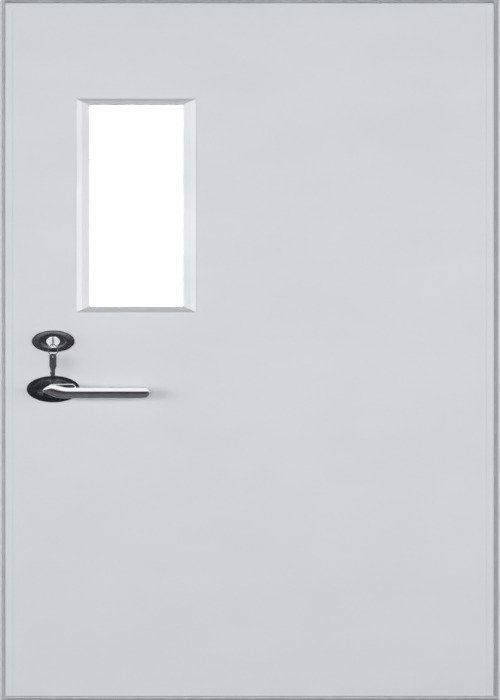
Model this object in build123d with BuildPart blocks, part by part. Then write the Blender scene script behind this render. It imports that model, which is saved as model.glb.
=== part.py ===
"""Glazed steel door set: a rebated sheet-steel leaf in a four-sided frame.

Millimetres, +X to the right and +Z up as seen from the front, +Y into the wall.
The origin is on the threshold's underside, below the middle of the leaf's depth.
"""
import os

from build123d import *

# Leaf and the gaps round it
LEAF_WIDTH = 1400.0
LEAF_HEIGHT = 1985.0
BODY_DEPTH = 50.0
LIP_DEPTH = 14.0
LIP_REACH = 24.0
SHEET = 1.5
EDGE_BEND = 2.5
LOCK_GAP = 9.0
HINGE_GAP = 12.0
TOP_GAP = 7.0
BOTTOM_GAP = 7.0
SIDE_HEM = 21.0
TOP_HEM = 9.0
HEM_GROOVE = 1.2
BOTTOM_RAIL_HEIGHT = 30.0

# Frame
FRAME_FACE = 50.0
FRAME_SHEET = 2.0
FRAME_BEND = 3.5
FRAME_RETURN = 12.0
THRESHOLD_HEIGHT = 30.0
SEAL_GAP = 6.0
SEAL_WIDTH = 9.0
SEAL_CLEARANCE = 0.4
FIXING_HOLE_R = 5.5
FIXING_SPACING = 1500.0
FIXING_MIDDLE_Z = 1050.0

# Vision panel
WINDOW_LEFT = 204.0
WINDOW_FROM_TOP = 274.0
WINDOW_WIDTH = 343.0
WINDOW_HEIGHT = 612.0
SIDE_BEAD = 38.5
CROSS_BEAD = 18.0
BEAD_RIDGE = 9.5
BEAD_TOE = 0.8
BEAD_INNER_EDGE = 2.0
BEAD_RIDGE_SHARE = 0.46
BEAD_LEG_SHARE = 0.5
CUTOUT_CLEARANCE = 0.5
GLASS_THICKNESS = 24.0
PANE = 6.0
SPACER_WIDTH = 5.0
GLASS_CLEARANCE = 3.0
GASKET = 2.5

# Hinges
LOW_HINGE_HEIGHT = 250.0
MIDDLE_HINGE_HEIGHT = 1030.0
TOP_HINGE_FROM_TOP = 185.0
KNUCKLE_R = 11.0
KNUCKLE_LENGTH = 60.0
HINGE_PIN_R = 6.0
PIN_CLEARANCE = 0.08
HINGE_PIN_LENGTH = 45.0
HINGE_PLATE = 3.0
HINGE_PLATE_REACH = 45.0
KNUCKLE_TO_LIP = 2.5
KNUCKLE_GAP = 0.4
PIN_END_GAP = 2.0

# Lock
BACKSET = 138.0
LEVER_HEIGHT = 879.0
CYLINDER_ABOVE_LEVER = 137.0
LOCK_PLANE_FROM_FRONT = 25.0
CASE_DEPTH = 20.0
CASE_WIDTH = 190.0
CASE_BELOW_LEVER = 90.0
CASE_ABOVE_CYLINDER = 43.0
CASE_CLEARANCE = 0.5
FOREND_WIDTH = 24.0
FOREND_THICKNESS = 3.0
FOREND_MARGIN = 20.0
FOREND_ROUND = 4.0
BOLT_CLEARANCE = 0.3
POCKET_CLEARANCE = 1.5
LATCH = (12.0, 34.0, 40.0)
DEAD_BOLT = (12.0, 40.0, 50.0)
STRIKE_THICKNESS = 2.0

# Roses and escutcheons, ovals of four arcs with the small arcs at their tips
ROSE_WIDTH = 152.0
ROSE_HEIGHT = 76.0
ROSE_TIP_R = 24.0
ROSE_THICKNESS = 7.0
ROSE_EDGE = 2.5
ROSE_RIM = 8.0
ROSE_RING = 5.0
ROSE_DISH = 1.0
COLLAR_R = 17.0
COLLAR_THICKNESS = 3.0
ESCUTCHEON_WIDTH = 122.0
ESCUTCHEON_HEIGHT = 62.0
ESCUTCHEON_TIP_R = 20.0
ESCUTCHEON_THICKNESS = 10.0
ESCUTCHEON_EDGE = 3.0
ESCUTCHEON_RIM = 6.0
ESCUTCHEON_RING = 4.0
ESCUTCHEON_DISH = 1.5

# Levers, with the outline's corners as (x, z) from the lever's axis
NECK_R = 12.0
NECK_CLEARANCE = 0.08
NECK_BEHIND_SHEET = 12.0
NECK_HOLE_MARGIN = 2.0
LEVER_LENGTH = 277.0
LEVER_TOP = 5.0
LEVER_BOTTOM = -25.5
LEVER_SHOULDER = (34.0, LEVER_TOP)
LEVER_CREST = (-4.0, 15.5)
LEVER_TIP = (-37.0, -4.5)
LEVER_HEEL = (14.0, LEVER_BOTTOM)
LEVER_ROUNDS = (9.0, 50.0, 12.0, 8.0, 60.0, 16.0)
LEVER_STAND_OFF = 36.0
LEVER_THICKNESS = 18.0
LEVER_EDGE = 5.0
ROOT_LEFT = -12.0
ROOT_RIGHT = 66.0
ROOT_HEIGHT = 31.0
ROOT_CORNER = 12.0
ROOT_START = 13.0
ROOT_FULL = 33.0
ROOT_FRONT = 41.0
ROOT_EDGE = 1.5
ROOT_SLOT = (8.0, 56.0)
ROOT_SLOT_TOP = 12.0
ROOT_SLOT_DEPTH = 9.0
SPINDLE_SIDE = 9.0
SPINDLE_END_DEPTH = 8.0

# Cylinder
CYLINDER_WIDTH = 39.0
CYLINDER_HEIGHT = 27.0
CYLINDER_TIP_R = 9.0
CYLINDER_TAIL_WIDTH = 25.0
CYLINDER_TAIL_DROP = 18.0
CYLINDER_TAIL_ROUND = 6.0
CYLINDER_STAND_OFF = 12.0
CYLINDER_CLEARANCE = 0.3
PLUG_R = 10.5
PLUG_CLEARANCE = 0.08
PLUG_LENGTH = 32.0
PLUG_STAND_OFF = 0.5

# Keys and their ring
KEY_THICKNESS = 2.5
KEY_BLADE_HEIGHT = 8.0
KEY_BLADE_LENGTH = 26.0
KEY_SHOULDER = 4.0
KEY_BOW_LENGTH = 26.0
KEY_BOW_HEIGHT = 28.0
KEY_BOW_ROUND = 8.0
KEY_HOLE_R = 4.5
KEY_HOLE_FROM_END = 8.0
KEY_HOLE_DROP = 6.0
RING_R = 16.0
RING_WIRE_R = 1.25
RING_SEAT_GAP = 0.25
RING_TURN = 35.0
SPARE_THICKNESS = 2.5
SPARE_BOW_WIDTH = 27.0
SPARE_BOW_LENGTH = 43.0
SPARE_BOW_ROUND = 9.0
SPARE_BLADE_WIDTH = 15.0
SPARE_BLADE_LENGTH = 22.0
SPARE_HOLE_R = 4.5
SPARE_HOLE_FROM_TOP = 8.0
SPARE_TURN = -45.0

# Planes worked out from the sizes above
total_depth = BODY_DEPTH + LIP_DEPTH
front = -total_depth / 2
lip_front = front + BODY_DEPTH
back = total_depth / 2
frame_back = lip_front - SEAL_GAP
opening_width = LEAF_WIDTH + LOCK_GAP + HINGE_GAP
reveal_left = -opening_width / 2
reveal_right = opening_width / 2
leaf_left = reveal_left + LOCK_GAP
leaf_right = reveal_right - HINGE_GAP
leaf_bottom = THRESHOLD_HEIGHT + BOTTOM_GAP
leaf_top = leaf_bottom + LEAF_HEIGHT
reveal_top = leaf_top + TOP_GAP
frame_left = reveal_left - FRAME_FACE
frame_right = reveal_right + FRAME_FACE
frame_top = reveal_top + FRAME_FACE
lock_y = front + LOCK_PLANE_FROM_FRONT
lever_x = leaf_left + BACKSET
lever_z = leaf_bottom + LEVER_HEIGHT
cylinder_z = lever_z + CYLINDER_ABOVE_LEVER
case_bottom = lever_z - CASE_BELOW_LEVER
case_top = cylinder_z + CASE_ABOVE_CYLINDER
core_clearance = EDGE_BEND - SHEET

# Window planes
window_left = leaf_left + WINDOW_LEFT
window_right = window_left + WINDOW_WIDTH
window_top = leaf_top - WINDOW_FROM_TOP
window_bottom = window_top - WINDOW_HEIGHT
side_leg = SIDE_BEAD * BEAD_LEG_SHARE
cross_leg = CROSS_BEAD * BEAD_LEG_SHARE
cut_left = window_left + side_leg - CUTOUT_CLEARANCE
cut_right = window_right - side_leg + CUTOUT_CLEARANCE
cut_bottom = window_bottom + cross_leg - CUTOUT_CLEARANCE
cut_top = window_top - cross_leg + CUTOUT_CLEARANCE

# Hinge pivot, and the key's planes from its plug outwards
pivot_x = leaf_right + LIP_REACH + KNUCKLE_TO_LIP + KNUCKLE_R
pivot_y = back + HINGE_PLATE / 2
hinge_joints = (
    leaf_bottom + LOW_HINGE_HEIGHT,
    leaf_bottom + MIDDLE_HINGE_HEIGHT,
    leaf_top - TOP_HINGE_FROM_TOP,
)
plug_face = front - CYLINDER_STAND_OFF - PLUG_STAND_OFF
bow_start = plug_face - KEY_SHOULDER
bow_end = bow_start - KEY_BOW_LENGTH
key_hole_y = bow_end + KEY_HOLE_FROM_END
key_hole_z = cylinder_z - KEY_HOLE_DROP


def finish(piece, name):
    """Name a finished piece and write it as its own STEP file."""
    piece.part.label = name
    export_step(piece.part, f"parts/{name}.step")


def finish_pair(piece, name):
    """Write a front piece, and its mirror image for the back of the leaf."""
    finish(piece, name.format("front"))
    with BuildPart() as twin:
        mirror(piece.part, about=Plane.XZ)
    finish(twin, name.format("back"))


def block(x0, x1, y0, y1, z0, z1, mode=Mode.ADD):
    """A box between two corners, in the part block that is open."""
    with Locations(((x0 + x1) / 2, (y0 + y1) / 2, (z0 + z1) / 2)):
        Box(x1 - x0, y1 - y0, z1 - z0, mode=mode)


def frame_profile():
    """Jamb section with its reveal at x = 0 and its open side towards -X."""
    outer = FRAME_BEND
    inner = FRAME_BEND - FRAME_SHEET
    with BuildSketch() as section:
        with BuildLine():
            FilletPolyline(
                (-FRAME_FACE, frame_back - FRAME_RETURN),
                (-FRAME_FACE, frame_back),
                (0, frame_back),
                (0, front),
                (-FRAME_FACE, front),
                (-FRAME_FACE, front + FRAME_RETURN),
                (-FRAME_FACE + FRAME_SHEET, front + FRAME_RETURN),
                (-FRAME_FACE + FRAME_SHEET, front + FRAME_SHEET),
                (-FRAME_SHEET, front + FRAME_SHEET),
                (-FRAME_SHEET, frame_back - FRAME_SHEET),
                (-FRAME_FACE + FRAME_SHEET, frame_back - FRAME_SHEET),
                (-FRAME_FACE + FRAME_SHEET, frame_back - FRAME_RETURN),
                radius=(0, outer, outer, outer, outer, 0, 0, inner, inner, inner, inner, 0),
                close=True,
            )
        make_face()
    return section.sketch


def edge_profile(hem):
    """Folded leaf edge with its outer side at x = 0, the lip out to +X."""
    outer = EDGE_BEND
    inner = EDGE_BEND - SHEET
    with BuildSketch() as section:
        with BuildLine():
            FilletPolyline(
                (-hem, front),
                (0, front),
                (0, lip_front),
                (LIP_REACH, lip_front),
                (LIP_REACH, back),
                (-hem, back),
                (-hem, back - SHEET),
                (LIP_REACH - SHEET, back - SHEET),
                (LIP_REACH - SHEET, lip_front + SHEET),
                (-SHEET, lip_front + SHEET),
                (-SHEET, front + SHEET),
                (-hem, front + SHEET),
                radius=(0, outer, inner, outer, outer, 0, 0, inner, inner, outer, inner, 0),
                close=True,
            )
        make_face()
    return section.sketch


def keep_region(points):
    """Keep only what lies inside this outline, seen from the front."""
    with BuildSketch(Plane.XZ.offset(total_depth)) as region:
        with BuildLine():
            Polyline(*points, close=True)
        make_face()
    extrude(region.sketch, amount=-2 * total_depth, mode=Mode.INTERSECT)


def cut_bolt_pockets(x0, x1, clearance):
    """Openings for the latch and the bolt in what lies between two planes."""
    for middle, (width, height, _) in ((lever_z, LATCH), (cylinder_z, DEAD_BOLT)):
        half_width = width / 2 + clearance
        half_height = height / 2 + clearance
        block(x0, x1, lock_y - half_width, lock_y + half_width,
              middle - half_height, middle + half_height, mode=Mode.SUBTRACT)


def make_jamb(name, reveal, outward):
    """A jamb stands on the floor and is mitred under the head."""
    section = frame_profile()
    with BuildPart() as jamb:
        with BuildSketch(Plane.XY):
            with Locations((reveal, 0)):
                add(section if outward < 0 else mirror(section, about=Plane.YZ, mode=Mode.PRIVATE))
        extrude(amount=frame_top)
        outer = reveal + outward * FRAME_FACE
        keep_region([(reveal, 0), (reveal, reveal_top), (outer, frame_top), (outer, 0)])
        web_middle = (front + frame_back) / 2
        for side in (-1, 1):
            hole_z = FIXING_MIDDLE_Z + side * FIXING_SPACING / 2
            with Locations(Location((reveal, web_middle, hole_z), (0, 90, 0))):
                Cylinder(FIXING_HOLE_R, 4 * FRAME_SHEET, mode=Mode.SUBTRACT)
        if outward < 0:
            cut_bolt_pockets(reveal - 2 * FRAME_SHEET, reveal + 1, POCKET_CLEARANCE)
    finish(jamb, name)


def make_head():
    """The head is the jamb's section laid across, mitred at both ends."""
    section = frame_profile()
    with BuildPart() as head:
        with BuildSketch(Plane(origin=(frame_left, 0, reveal_top), x_dir=(0, 0, -1), z_dir=(1, 0, 0))):
            add(section)
        extrude(amount=frame_right - frame_left)
        keep_region([
            (reveal_left, reveal_top),
            (reveal_right, reveal_top),
            (frame_right, frame_top),
            (frame_left, frame_top),
        ])
    finish(head, "head")


def make_threshold():
    """Extruded sill between the jambs, with two drip grooves in its top."""
    with BuildPart() as threshold:
        block(reveal_left, reveal_right, front, frame_back, 0, THRESHOLD_HEIGHT)
        top_edges = threshold.edges().filter_by(Axis.X).group_by(Axis.Z)[-1]
        chamfer(top_edges, 2)
        for share in (0.35, 0.65):
            groove_y = front + share * (frame_back - front)
            block(reveal_left, reveal_right, groove_y - 2, groove_y + 2,
                  THRESHOLD_HEIGHT - 2, THRESHOLD_HEIGHT, mode=Mode.SUBTRACT)
    finish(threshold, "threshold")


def make_seal():
    """Sponge strips on the frame's back face, under the leaf's lip."""
    seal_front = frame_back
    seal_back = lip_front - SEAL_CLEARANCE
    side = (LIP_REACH + HINGE_GAP) / 2
    left = leaf_left - side
    right = leaf_right + side
    top = leaf_top + side
    half = SEAL_WIDTH / 2
    with BuildPart() as seal:
        block(left - half, left + half, seal_front, seal_back, leaf_bottom, top - half - 1)
        block(right - half, right + half, seal_front, seal_back, leaf_bottom, top - half - 1)
        block(left - half, right + half, seal_front, seal_back, top - half, top + half)
        fillet(seal.edges().group_by(Axis.Y)[-1], 2)
    finish(seal, "seal")


def make_strike_plate():
    """Plate on the lock jamb, open where the latch and the bolt go in."""
    inner = reveal_left + STRIKE_THICKNESS
    half = FOREND_WIDTH / 2
    with BuildPart() as strike:
        block(reveal_left, inner, lock_y - half, lock_y + half,
              case_bottom + FOREND_MARGIN, case_top - FOREND_MARGIN)
        fillet(strike.edges().filter_by(Axis.X), FOREND_ROUND)
        cut_bolt_pockets(reveal_left, inner, POCKET_CLEARANCE)
    finish(strike, "strike_plate")


def add_knuckle(bottom):
    """Hinge barrel that stands on this height, on the pivot's line."""
    with Locations((pivot_x, pivot_y, bottom + KNUCKLE_LENGTH / 2)):
        Cylinder(KNUCKLE_R, KNUCKLE_LENGTH)


def make_hinge(number, height):
    """A lift-off hinge: the frame half carries the pin, the leaf half drops on it."""
    bottom = height - KNUCKLE_LENGTH
    with BuildPart() as frame_half:
        add_knuckle(bottom)
        block(pivot_x, pivot_x + KNUCKLE_R, frame_back, pivot_y, bottom, height)
        block(pivot_x, frame_right - FRAME_BEND, frame_back, frame_back + HINGE_PLATE, bottom, height)
        with Locations((pivot_x, pivot_y, height + HINGE_PIN_LENGTH / 2)):
            Cylinder(HINGE_PIN_R, HINGE_PIN_LENGTH)
    finish(frame_half, f"hinge_frame_{number}")

    low = height + KNUCKLE_GAP
    bore_depth = HINGE_PIN_LENGTH + PIN_END_GAP
    with BuildPart() as leaf_half:
        add_knuckle(low)
        block(pivot_x - KNUCKLE_R - HINGE_PLATE_REACH, pivot_x, back, back + HINGE_PLATE,
              low, low + KNUCKLE_LENGTH)
        with Locations((pivot_x, pivot_y, low + bore_depth / 2)):
            Cylinder(HINGE_PIN_R + PIN_CLEARANCE, bore_depth, mode=Mode.SUBTRACT)
    finish(leaf_half, f"hinge_leaf_{number}")


def make_stile(name, edge, outward):
    """Side edge of the leaf, folded from one sheet with the rebate lip."""
    section = edge_profile(SIDE_HEM)
    lip_top = leaf_top + LIP_REACH
    with BuildPart() as stile:
        with BuildSketch(Plane.XY.offset(leaf_bottom)):
            with Locations((edge, 0)):
                add(section if outward > 0 else mirror(section, about=Plane.YZ, mode=Mode.PRIVATE))
        extrude(amount=lip_top - leaf_bottom)
        keep_region([
            (edge + outward * LIP_REACH, leaf_bottom),
            (edge + outward * LIP_REACH, lip_top),
            (edge - outward * TOP_HEM, leaf_top - TOP_HEM),
            (edge - outward * SIDE_HEM, leaf_top - TOP_HEM),
            (edge - outward * SIDE_HEM, leaf_bottom),
        ])
        if outward < 0:
            half = FOREND_WIDTH / 2 + CASE_CLEARANCE
            block(edge - SHEET, edge + 2 * SHEET, lock_y - half, lock_y + half,
                  case_bottom - CASE_CLEARANCE, case_top + CASE_CLEARANCE, mode=Mode.SUBTRACT)
    finish(stile, name)


def make_top_rail():
    """Top edge of the leaf, the same fold laid across and mitred."""
    section = edge_profile(TOP_HEM)
    left = leaf_left - LIP_REACH
    right = leaf_right + LIP_REACH
    lip_top = leaf_top + LIP_REACH
    with BuildPart() as rail:
        with BuildSketch(Plane(origin=(left, 0, leaf_top), x_dir=(0, 0, 1), z_dir=(-1, 0, 0))):
            add(section)
        extrude(amount=-(right - left))
        keep_region([
            (left, lip_top),
            (right, lip_top),
            (leaf_right - TOP_HEM, leaf_top - TOP_HEM),
            (leaf_left + TOP_HEM, leaf_top - TOP_HEM),
        ])
    finish(rail, "rail_top")


def make_bottom_rail():
    """U channel let in between the sheets along the bottom, open downwards."""
    left = leaf_left + EDGE_BEND
    right = leaf_right - EDGE_BEND
    top = leaf_bottom + BOTTOM_RAIL_HEIGHT
    with BuildPart() as rail:
        block(left, right, front + SHEET, back - SHEET, leaf_bottom, top)
        block(left, right, front + 2 * SHEET, back - 2 * SHEET, leaf_bottom, top - SHEET, mode=Mode.SUBTRACT)
    finish(rail, "rail_bottom")


def oval(width, height, tip_r):
    """Four-arc oval: two wide arcs that cross, with the tips rounded off."""
    reach = width / 2
    rise = height / 2
    side_r = (reach ** 2 + rise ** 2 - 2 * reach * tip_r) / (2 * (rise - tip_r))
    with BuildSketch() as outline:
        with Locations((0, rise - side_r)):
            Circle(side_r)
        with Locations((0, side_r - rise)):
            Circle(side_r, mode=Mode.INTERSECT)
        fillet(outline.vertices(), tip_r)
    return outline.sketch


def cylinder_outline(clearance=0.0):
    """Cylinder seen from the front: oval head, narrower tail below."""
    around = 2 * clearance
    with BuildSketch() as outline:
        add(oval(CYLINDER_WIDTH + around, CYLINDER_HEIGHT + around, CYLINDER_TIP_R + clearance))
        tail = CYLINDER_TAIL_DROP + clearance
        with Locations((0, -tail / 2)):
            RectangleRounded(CYLINDER_TAIL_WIDTH + around, tail, CYLINDER_TAIL_ROUND)
    return outline.sketch


def cut_fittings():
    """Holes through a sheet for the neck and the cylinder."""
    with BuildSketch(Plane.XZ.offset(total_depth)) as holes:
        with Locations((lever_x, lever_z)):
            Circle(NECK_R + NECK_HOLE_MARGIN)
        with Locations((lever_x, cylinder_z)):
            add(cylinder_outline(CYLINDER_CLEARANCE))
    extrude(holes.sketch, amount=-2 * total_depth, mode=Mode.SUBTRACT)


def make_sheet(name, outer, inner):
    """A face sheet, between the hems, cut out for the window and the fittings."""
    with BuildPart() as sheet:
        block(leaf_left + SIDE_HEM + HEM_GROOVE, leaf_right - SIDE_HEM - HEM_GROOVE, outer, inner,
              leaf_bottom, leaf_top - TOP_HEM - HEM_GROOVE)
        block(cut_left, cut_right, outer, inner, cut_bottom, cut_top, mode=Mode.SUBTRACT)
        cut_fittings()
    finish(sheet, name)


def make_core():
    """Insulating boards that fill the leaf round the window and the lock."""
    y0 = front + SHEET
    y1 = back - SHEET
    left = leaf_left + SHEET + core_clearance
    right = leaf_right - SHEET - core_clearance
    bottom = leaf_bottom + BOTTOM_RAIL_HEIGHT
    top = leaf_top - SHEET - core_clearance
    pocket_bottom = case_bottom - CASE_CLEARANCE
    pocket_top = case_top + CASE_CLEARANCE
    case_half = CASE_DEPTH / 2 + CASE_CLEARANCE
    forend_half = FOREND_WIDTH / 2 + CASE_CLEARANCE
    with BuildPart() as lock_side:
        block(left, cut_left, y0, y1, bottom, top)
        block(left, leaf_left + CASE_WIDTH + CASE_CLEARANCE, lock_y - case_half, lock_y + case_half,
              pocket_bottom, pocket_top, mode=Mode.SUBTRACT)
        block(left, leaf_left + FOREND_THICKNESS + CASE_CLEARANCE, lock_y - forend_half, lock_y + forend_half,
              pocket_bottom, pocket_top, mode=Mode.SUBTRACT)
        cut_fittings()
    finish(lock_side, "core_lock_side")
    boards = {
        "core_hinge_side": (cut_right, right, bottom, top),
        "core_above_window": (cut_left, cut_right, cut_top, top),
        "core_below_window": (cut_left, cut_right, bottom, cut_bottom),
    }
    for name, (x0, x1, z0, z1) in boards.items():
        with BuildPart() as board:
            block(x0, x1, y0, y1, z0, z1)
        finish(board, name)


def bead_profile(width):
    """Bead section: toe on the sheet, ridge, inner edge, leg down to the glass."""
    leg = -(total_depth / 2 - GLASS_THICKNESS / 2 - GASKET)
    with BuildSketch() as section:
        with BuildLine():
            Polyline(
                (0, 0),
                (0, BEAD_TOE),
                (width * BEAD_RIDGE_SHARE, BEAD_RIDGE),
                (width, BEAD_INNER_EDGE),
                (width, leg),
                (width * BEAD_LEG_SHARE, leg),
                (width * BEAD_LEG_SHARE, 0),
                close=True,
            )
        make_face()
    return section.sketch


def make_beads():
    """Four glazing beads a side, mitred from the outer to the sight corners."""
    sight_left = window_left + SIDE_BEAD
    sight_right = window_right - SIDE_BEAD
    sight_bottom = window_bottom + CROSS_BEAD
    sight_top = window_top - CROSS_BEAD
    outer = [(window_left, window_bottom), (window_right, window_bottom),
             (window_right, window_top), (window_left, window_top)]
    inner = [(sight_left, sight_bottom), (sight_right, sight_bottom),
             (sight_right, sight_top), (sight_left, sight_top)]
    runs = (
        ("bottom", CROSS_BEAD, WINDOW_WIDTH, (0, 0, 1)),
        ("right", SIDE_BEAD, WINDOW_HEIGHT, (-1, 0, 0)),
        ("top", CROSS_BEAD, WINDOW_WIDTH, (0, 0, -1)),
        ("left", SIDE_BEAD, WINDOW_HEIGHT, (1, 0, 0)),
    )
    for corner, (place, width, length, inward) in enumerate(runs):
        after = (corner + 1) % 4
        start_x, start_z = outer[corner]
        along = Vector(inward).cross(Vector(0, -1, 0))
        with BuildPart() as bead:
            with BuildSketch(Plane(origin=(start_x, front, start_z), x_dir=inward, z_dir=along)):
                add(bead_profile(width))
            extrude(amount=length, both=True)
            keep_region([outer[corner], outer[after], inner[after], inner[corner]])
        finish_pair(bead, "bead_{}_" + place)


def make_glazing():
    """Sealed unit of two panes on a spacer bar, with a gasket on each face."""
    half = GLASS_THICKNESS / 2
    air_half = half - PANE
    glass_left = cut_left + GLASS_CLEARANCE
    glass_right = cut_right - GLASS_CLEARANCE
    glass_bottom = cut_bottom + GLASS_CLEARANCE
    glass_top = cut_top - GLASS_CLEARANCE
    with BuildPart() as pane:
        block(glass_left, glass_right, -half, -air_half, glass_bottom, glass_top)
    finish_pair(pane, "pane_{}")
    with BuildPart() as spacer:
        block(glass_left, glass_right, -air_half, air_half, glass_bottom, glass_top)
        block(glass_left + SPACER_WIDTH, glass_right - SPACER_WIDTH, -air_half, air_half,
              glass_bottom + SPACER_WIDTH, glass_top - SPACER_WIDTH, mode=Mode.SUBTRACT)
    finish(spacer, "spacer")
    with BuildPart() as gasket:
        for y0, y1 in ((-half - GASKET, -half), (half, half + GASKET)):
            block(window_left + side_leg, window_right - side_leg, y0, y1,
                  window_bottom + cross_leg, window_top - cross_leg)
            block(window_left + SIDE_BEAD, window_right - SIDE_BEAD, y0, y1,
                  window_bottom + CROSS_BEAD, window_top - CROSS_BEAD, mode=Mode.SUBTRACT)
    finish(gasket, "gasket")


def make_lock():
    """Mortise lock: case, forend, and the latch and bolt drawn back level with it."""
    case_left = leaf_left + FOREND_THICKNESS
    case_half = CASE_DEPTH / 2
    bolt_places = ((lever_z, LATCH), (cylinder_z, DEAD_BOLT))
    with BuildPart() as case:
        block(case_left, leaf_left + CASE_WIDTH, lock_y - case_half, lock_y + case_half,
              case_bottom, case_top)
        cut_fittings()
        for middle, (width, height, depth) in bolt_places:
            block(case_left, leaf_left + depth + BOLT_CLEARANCE,
                  lock_y - width / 2 - BOLT_CLEARANCE, lock_y + width / 2 + BOLT_CLEARANCE,
                  middle - height / 2 - BOLT_CLEARANCE, middle + height / 2 + BOLT_CLEARANCE,
                  mode=Mode.SUBTRACT)
    finish(case, "lock_case")
    with BuildPart() as forend:
        block(leaf_left, case_left, lock_y - FOREND_WIDTH / 2, lock_y + FOREND_WIDTH / 2,
              case_bottom, case_top)
        cut_bolt_pockets(leaf_left, case_left, BOLT_CLEARANCE)
    finish(forend, "forend")
    with BuildPart() as bolts:
        for middle, (width, height, depth) in bolt_places:
            block(leaf_left, leaf_left + depth, lock_y - width / 2, lock_y + width / 2,
                  middle - height / 2, middle + height / 2)
    finish(bolts, "lock_bolts")


def front_plane(height):
    """Plane on the leaf's front face, on the fittings' line, facing outwards."""
    return Plane(origin=(lever_x, front, height), x_dir=(1, 0, 0), z_dir=(0, -1, 0))


def add_oval_plate(plate, plane, width, height, tip_r, thickness, edge, rim, inset, dish):
    """Oval plate: upright edge, rim sloping up to a flat ring, dished middle."""
    with BuildSketch(plane) as foot:
        add(oval(width, height, tip_r))
    extrude(foot.sketch, amount=thickness)
    chamfer(plate.edges().filter_by(Plane.XZ).group_by(Axis.Y)[0], thickness - edge, rim)
    with BuildSketch(plane.offset(thickness)) as middle:
        add(oval(width - 2 * inset, height - 2 * inset, tip_r - inset))
    extrude(middle.sketch, amount=-dish, mode=Mode.SUBTRACT)


def make_roses():
    """Oval rose with the lever's bearing collar in its middle."""
    plane = front_plane(lever_z)
    with BuildPart() as rose:
        add_oval_plate(rose, plane, ROSE_WIDTH, ROSE_HEIGHT, ROSE_TIP_R, ROSE_THICKNESS, ROSE_EDGE,
                       ROSE_RIM, ROSE_RIM + ROSE_RING, ROSE_DISH)
        with BuildSketch(plane):
            Circle(COLLAR_R)
        extrude(amount=ROSE_THICKNESS + COLLAR_THICKNESS)
        with BuildSketch(plane):
            Circle(NECK_R + NECK_CLEARANCE)
        extrude(amount=ROSE_THICKNESS + COLLAR_THICKNESS, mode=Mode.SUBTRACT)
    finish_pair(rose, "rose_{}")


def make_escutcheons():
    """Oval cylinder guard, cut to the cylinder's outline."""
    plane = front_plane(cylinder_z)
    with BuildPart() as guard:
        add_oval_plate(guard, plane, ESCUTCHEON_WIDTH, ESCUTCHEON_HEIGHT, ESCUTCHEON_TIP_R,
                       ESCUTCHEON_THICKNESS, ESCUTCHEON_EDGE, ESCUTCHEON_RIM,
                       ESCUTCHEON_RIM + ESCUTCHEON_RING, ESCUTCHEON_DISH)
        with BuildSketch(plane):
            add(cylinder_outline(CYLINDER_CLEARANCE))
        extrude(amount=ESCUTCHEON_THICKNESS, mode=Mode.SUBTRACT)
    finish_pair(guard, "escutcheon_{}")


def add_lever_root(root, plane):
    """Rounded block that widens from the neck outwards, slotted above the bar."""
    with BuildSketch(plane.offset(ROOT_START)) as face:
        with Locations(((ROOT_LEFT + ROOT_RIGHT) / 2, 0)):
            RectangleRounded(ROOT_RIGHT - ROOT_LEFT, ROOT_HEIGHT, ROOT_CORNER)
    extrude(face.sketch, amount=ROOT_FRONT - ROOT_START)
    chamfer(root.faces().sort_by(Axis.Y)[0].edges(), ROOT_EDGE)
    with BuildSketch(Plane(origin=(lever_x, front, lever_z), x_dir=(1, 0, 0), z_dir=(0, 0, 1))) as side:
        with BuildLine():
            Polyline(
                (-NECK_R, -ROOT_START),
                (ROOT_LEFT, -ROOT_FRONT),
                (ROOT_RIGHT, -ROOT_FRONT),
                (ROOT_RIGHT, -ROOT_FULL),
                (NECK_R, -ROOT_START),
                close=True,
            )
        make_face()
    extrude(side.sketch, amount=ROOT_HEIGHT, both=True, mode=Mode.INTERSECT)
    slot_left, slot_right = ROOT_SLOT
    block(lever_x + slot_left, lever_x + slot_right, front - ROOT_FRONT, front - ROOT_FRONT + ROOT_SLOT_DEPTH,
          lever_z, lever_z + ROOT_SLOT_TOP, mode=Mode.SUBTRACT)


def make_levers():
    """Cast lever: neck through the rose, root that widens, bar along the door."""
    plane = front_plane(lever_z)
    with BuildPart() as lever:
        add_lever_root(lever, plane)
        with BuildPart(mode=Mode.PRIVATE) as bar:
            with BuildSketch(plane.offset(LEVER_STAND_OFF)):
                with BuildLine():
                    FilletPolyline(
                        (LEVER_LENGTH, LEVER_TOP),
                        LEVER_SHOULDER,
                        LEVER_CREST,
                        LEVER_TIP,
                        LEVER_HEEL,
                        (LEVER_LENGTH, LEVER_BOTTOM),
                        radius=LEVER_ROUNDS,
                        close=True,
                    )
                make_face()
            extrude(amount=LEVER_THICKNESS)
            chamfer(bar.edges().filter_by(Plane.XZ), LEVER_EDGE)
        add(bar.part)
        with BuildSketch(plane.offset(-NECK_BEHIND_SHEET)):
            Circle(NECK_R)
        extrude(amount=NECK_BEHIND_SHEET + ROOT_START)
        with BuildSketch(plane.offset(-NECK_BEHIND_SHEET)):
            Rectangle(SPINDLE_SIDE, SPINDLE_SIDE)
        extrude(amount=SPINDLE_END_DEPTH, mode=Mode.SUBTRACT)
    finish_pair(lever, "lever_{}")


def make_spindle():
    """Square bar that joins the two levers through the lock."""
    reach = total_depth / 2 - NECK_BEHIND_SHEET + SPINDLE_END_DEPTH
    half = SPINDLE_SIDE / 2
    with BuildPart() as spindle:
        block(lever_x - half, lever_x + half, -reach, reach, lever_z - half, lever_z + half)
    finish(spindle, "spindle")


def make_cylinder():
    """Lock cylinder through the leaf, bored from the front for its plug."""
    plane = front_plane(cylinder_z).offset(CYLINDER_STAND_OFF)
    with BuildPart() as cylinder:
        with BuildSketch(plane):
            add(cylinder_outline())
        extrude(amount=-total_depth - 2 * CYLINDER_STAND_OFF)
        with BuildSketch(plane):
            Circle(PLUG_R + PLUG_CLEARANCE)
        extrude(amount=-PLUG_LENGTH, mode=Mode.SUBTRACT)
    finish(cylinder, "lock_cylinder")


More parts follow.
